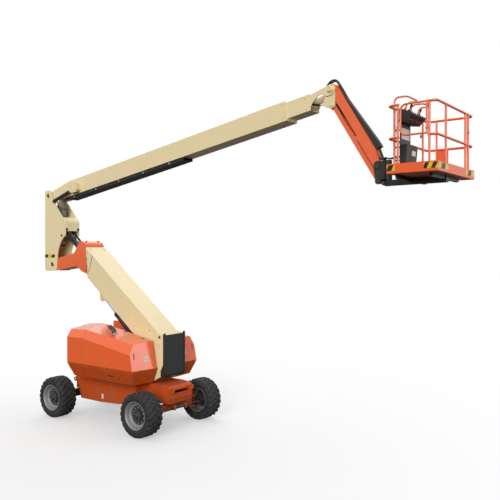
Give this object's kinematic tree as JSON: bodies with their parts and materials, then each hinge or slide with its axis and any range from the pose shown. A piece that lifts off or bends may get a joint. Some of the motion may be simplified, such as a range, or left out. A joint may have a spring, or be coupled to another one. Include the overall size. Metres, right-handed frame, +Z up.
{
  "type": "articulating boom lift",
  "caption": "Self-propelled articulating boom lift: slewing turntable, telescopic tower, upright, telescopic boom, parallel jib and swivelling work platform.",
  "frame": {"origin": "on the ground under the slewing axis, midway between the axles", "axes": "+X forwards towards the work platform, +Y to the left, +Z up"},
  "size_m": [11.5782, 2.49, 7.5248],
  "materials": {
    "orange": "gloss paint",
    "orange_dark": "gloss paint",
    "cream": "gloss paint",
    "black_steel": "satin paint",
    "chrome_rod": "polished",
    "tyre_rubber": "matt",
    "rim_grey": "satin silver paint",
    "black_plastic": "matt",
    "grey_paint": "satin paint",
    "casting": "dark paint"
  },
  "bodies": {
    "chassis": {"chassis_frame": "orange_dark", "front_axle": "orange_dark", "rear_axle": "black_steel", "steering_ram": "black_steel"},
    "knuckle_left": {"knuckle_left": "black_steel"},
    "knuckle_right": {"knuckle_right": "black_steel"},
    "tie_rod": {"steering_rod": "black_steel"},
    "wheel_front_left": {"tyre_front_left": "tyre_rubber", "rim_front_left": "rim_grey"},
    "wheel_front_right": {"tyre_front_right": "tyre_rubber", "rim_front_right": "rim_grey"},
    "wheel_rear_left": {"tyre_rear_left": "tyre_rubber", "rim_rear_left": "rim_grey"},
    "wheel_rear_right": {"tyre_rear_right": "tyre_rubber", "rim_rear_right": "rim_grey"},
    "turntable": {"turntable_frame": "orange", "tower_support": "cream", "front_cover": "black_plastic", "counterweight": "orange", "tail_cowl_left": "orange", "tail_cowl_right": "orange", "engine_block": "casting"},
    "hood_left": {"hood_left": "orange"},
    "hood_right": {"hood_right": "orange", "exhaust_stack": "black_steel"},
    "tower_base": {"tower_base": "cream"},
    "tower_fly": {"tower_fly": "orange"},
    "upright": {"upright": "cream"},
    "boom_base": {"boom_base": "cream", "boom_carrier": "black_plastic"},
    "boom_mid": {"boom_mid": "cream"},
    "boom_fly": {"boom_fly": "cream"},
    "jib_bracket": {"jib_bracket": "cream"},
    "jib_bar": {"jib_bar": "orange", "jib_cover": "black_plastic"},
    "jib_link": {"jib_link": "orange"},
    "platform_head": {"platform_head": "black_steel"},
    "platform": {"platform_support": "black_steel", "platform_deck": "orange", "platform_rails": "orange", "control_console": "black_plastic"},
    "gate": {"platform_gate": "orange"},
    "tower_lift_barrel": {"tower_lift_barrel": "black_steel"},
    "tower_lift_rod": {"tower_lift_rod": "chrome_rod"},
    "level_barrel": {"level_barrel": "black_steel"},
    "level_rod": {"level_rod": "chrome_rod"},
    "main_lift_barrel": {"main_lift_barrel": "grey_paint"},
    "main_lift_rod": {"main_lift_rod": "chrome_rod"},
    "master_barrel": {"master_barrel": "black_steel"},
    "master_rod": {"master_rod": "chrome_rod"},
    "slave_barrel": {"slave_barrel": "black_steel"},
    "slave_rod": {"slave_rod": "chrome_rod"},
    "jib_barrel": {"jib_barrel": "black_steel"},
    "jib_rod": {"jib_rod": "chrome_rod"}
  },
  "joints": [
    {"name": "slew", "type": "hinge", "parent": "chassis", "child": "turntable", "pos_m": [0, 0, 1.09], "axis": [0, 0, 1], "continuous": true},
    {"name": "steer_left", "type": "hinge", "parent": "chassis", "child": "knuckle_left", "pos_m": [1.525, 0.735, 0.51], "axis": [0, 0, 1], "range_deg": [-35, 35]},
    {"name": "steer_right", "type": "hinge", "parent": "chassis", "child": "knuckle_right", "pos_m": [1.525, -0.735, 0.51], "axis": [0, 0, 1], "range_deg": [-35, 35]},
    {"name": "tie_rod", "type": "slide", "parent": "chassis", "child": "tie_rod", "axis": [0, 1, 0], "range_m": [-0.126, 0.126]},
    {"name": "wheel_front_left", "type": "hinge", "parent": "knuckle_left", "child": "wheel_front_left", "pos_m": [1.525, 1.0225, 0.51], "axis": [0, 1, 0], "continuous": true},
    {"name": "wheel_front_right", "type": "hinge", "parent": "knuckle_right", "child": "wheel_front_right", "pos_m": [1.525, -1.0225, 0.51], "axis": [0, 1, 0], "continuous": true},
    {"name": "wheel_rear_left", "type": "hinge", "parent": "chassis", "child": "wheel_rear_left", "pos_m": [-1.525, 1.0225, 0.51], "axis": [0, 1, 0], "continuous": true},
    {"name": "wheel_rear_right", "type": "hinge", "parent": "chassis", "child": "wheel_rear_right", "pos_m": [-1.525, -1.0225, 0.51], "axis": [0, 1, 0], "continuous": true},
    {"name": "hood_left", "type": "hinge", "parent": "turntable", "child": "hood_left", "pos_m": [-0.472, 0.4, 2.39], "axis": [0.9846, 0, -0.1749], "range_deg": [0, 62]},
    {"name": "hood_right", "type": "hinge", "parent": "turntable", "child": "hood_right", "pos_m": [-0.472, -0.4, 2.39], "axis": [-0.9846, 0, 0.1749], "range_deg": [0, 62]},
    {"name": "tower_lift", "type": "hinge", "parent": "turntable", "child": "tower_base", "pos_m": [1.38, 0, 2.02], "axis": [0, 1, 0], "range_deg": [-37.5, 30]},
    {"name": "tower_extend", "type": "slide", "parent": "tower_base", "child": "tower_fly", "axis": [-0.7934, 0, 0.6088], "range_m": [0, 2]},
    {"name": "upright_level", "type": "hinge", "parent": "tower_fly", "child": "upright", "pos_m": [-2.82971, 0, 3.87001], "axis": [0, 1, 0], "range_deg": [-30, 37.5]},
    {"name": "main_lift", "type": "hinge", "parent": "upright", "child": "boom_base", "pos_m": [-3, 0, 5.74], "axis": [0, -1, 0], "range_deg": [-9.7, 65.3]},
    {"name": "boom_mid_extend", "type": "slide", "parent": "boom_base", "child": "boom_mid", "axis": [0.9857, 0, 0.1685], "range_m": [0, 2.45]},
    {"name": "boom_fly_extend", "type": "slide", "parent": "boom_mid", "child": "boom_fly", "axis": [0.9857, 0, 0.1685], "range_m": [0, 2.45]},
    {"name": "bracket_level", "type": "hinge", "parent": "boom_fly", "child": "jib_bracket", "pos_m": [5.96005, 0, 7.39027], "axis": [0, -1, 0], "range_deg": [-65.3, 9.7]},
    {"name": "jib_lift", "type": "hinge", "parent": "jib_bracket", "child": "jib_bar", "pos_m": [5.96005, 0, 7.39027], "axis": [0, -1, 0], "range_deg": [-2, 126]},
    {"name": "jib_parallel", "type": "hinge", "parent": "jib_bracket", "child": "jib_link", "pos_m": [5.97575, 0, 7.09068], "axis": [0, -1, 0], "range_deg": [-7, 131]},
    {"name": "head_level", "type": "hinge", "parent": "jib_bar", "child": "platform_head", "pos_m": [6.93616, 0, 5.82816], "axis": [0, -1, 0], "range_deg": [-131, 7]},
    {"name": "platform_rotate", "type": "hinge", "parent": "platform_head", "child": "platform", "pos_m": [7.09116, 0, 5.52857], "axis": [0, 0, 1], "range_deg": [-90, 90]},
    {"name": "gate", "type": "hinge", "parent": "platform", "child": "gate", "pos_m": [8.20916, -0.892, 6.4], "axis": [0, 0, -1], "range_deg": [0, 85]},
    {"name": "tower_lift_tilt", "type": "hinge", "parent": "turntable", "child": "tower_lift_barrel", "pos_m": [0.93, 0, 1.4], "axis": [0, 1, 0], "range_deg": [-37.5, 30]},
    {"name": "tower_lift_stroke", "type": "slide", "parent": "tower_lift_barrel", "child": "tower_lift_rod", "axis": [-0.7553, 0, 0.6554], "range_m": [-0.4805, 0.3844]},
    {"name": "level_tilt", "type": "hinge", "parent": "upright", "child": "level_barrel", "pos_m": [-2.43, 0, 4.63], "axis": [0, 1, 0], "range_deg": [-37.5, 30]},
    {"name": "level_stroke", "type": "slide", "parent": "level_barrel", "child": "level_rod", "axis": [0.8393, 0, -0.5436], "range_m": [-0.5367, 0.4294]},
    {"name": "main_lift_tilt", "type": "hinge", "parent": "upright", "child": "main_lift_barrel", "pos_m": [-2.8, 0, 4.45], "axis": [0, -1, 0], "range_deg": [-1.04, 6.99]},
    {"name": "main_lift_stroke", "type": "slide", "parent": "main_lift_barrel", "child": "main_lift_rod", "axis": [0.1741, 0, 0.9847], "range_m": [-0.0629, 0.4229]},
    {"name": "master_tilt", "type": "hinge", "parent": "upright", "child": "master_barrel", "pos_m": [-2.72, -0.285, 5.58], "axis": [0, -1, 0], "range_deg": [-10.21, 68.7]},
    {"name": "master_stroke", "type": "slide", "parent": "master_barrel", "child": "master_rod", "axis": [0.9488, 0, 0.3159], "range_m": [-0.0494, 0.332]},
    {"name": "slave_tilt", "type": "hinge", "parent": "boom_fly", "child": "slave_barrel", "pos_m": [5.18055, -0.028, 7.24992], "axis": [0, -1, 0], "range_deg": [-1.06, 7.08]},
    {"name": "slave_stroke", "type": "slide", "parent": "slave_barrel", "child": "slave_rod", "axis": [0.9805, 0, -0.1964], "range_m": [-0.3025, 0.045]},
    {"name": "jib_tilt", "type": "hinge", "parent": "jib_bracket", "child": "jib_barrel", "pos_m": [5.97575, 0.028, 7.09068], "axis": [0, -1, 0], "range_deg": [-1.93, 121.09]},
    {"name": "jib_stroke", "type": "slide", "parent": "jib_barrel", "child": "jib_rod", "axis": [0.6751, 0, -0.7377], "range_m": [-0.0084, 0.5278]}
  ],
  "couplings": [
    {"joint": "steer_right", "follows": "steer_left", "ratio": 1},
    {"joint": "tie_rod", "follows": "steer_left", "m_per_rad": 0.205},
    {"joint": "upright_level", "follows": "tower_lift", "ratio": -1},
    {"joint": "boom_fly_extend", "follows": "boom_mid_extend", "ratio": 1},
    {"joint": "bracket_level", "follows": "main_lift", "ratio": -1},
    {"joint": "jib_parallel", "follows": "jib_lift", "ratio": 1},
    {"joint": "head_level", "follows": "jib_lift", "ratio": -1},
    {"joint": "tower_lift_tilt", "follows": "tower_lift", "ratio": 1},
    {"joint": "tower_lift_stroke", "follows": "tower_lift", "m_per_rad": 0.734},
    {"joint": "level_tilt", "follows": "tower_lift", "ratio": 1},
    {"joint": "level_stroke", "follows": "tower_lift", "m_per_rad": 0.82},
    {"joint": "main_lift_tilt", "follows": "main_lift", "ratio": 0.107},
    {"joint": "main_lift_stroke", "follows": "main_lift", "m_per_rad": 0.371},
    {"joint": "master_tilt", "follows": "main_lift", "ratio": 1.052},
    {"joint": "master_stroke", "follows": "main_lift", "m_per_rad": 0.2913},
    {"joint": "slave_tilt", "follows": "main_lift", "ratio": 0.1084},
    {"joint": "slave_stroke", "follows": "main_lift", "m_per_rad": -0.2654},
    {"joint": "jib_tilt", "follows": "jib_lift", "ratio": 0.961},
    {"joint": "jib_stroke", "follows": "jib_lift", "m_per_rad": 0.24}
  ]
}
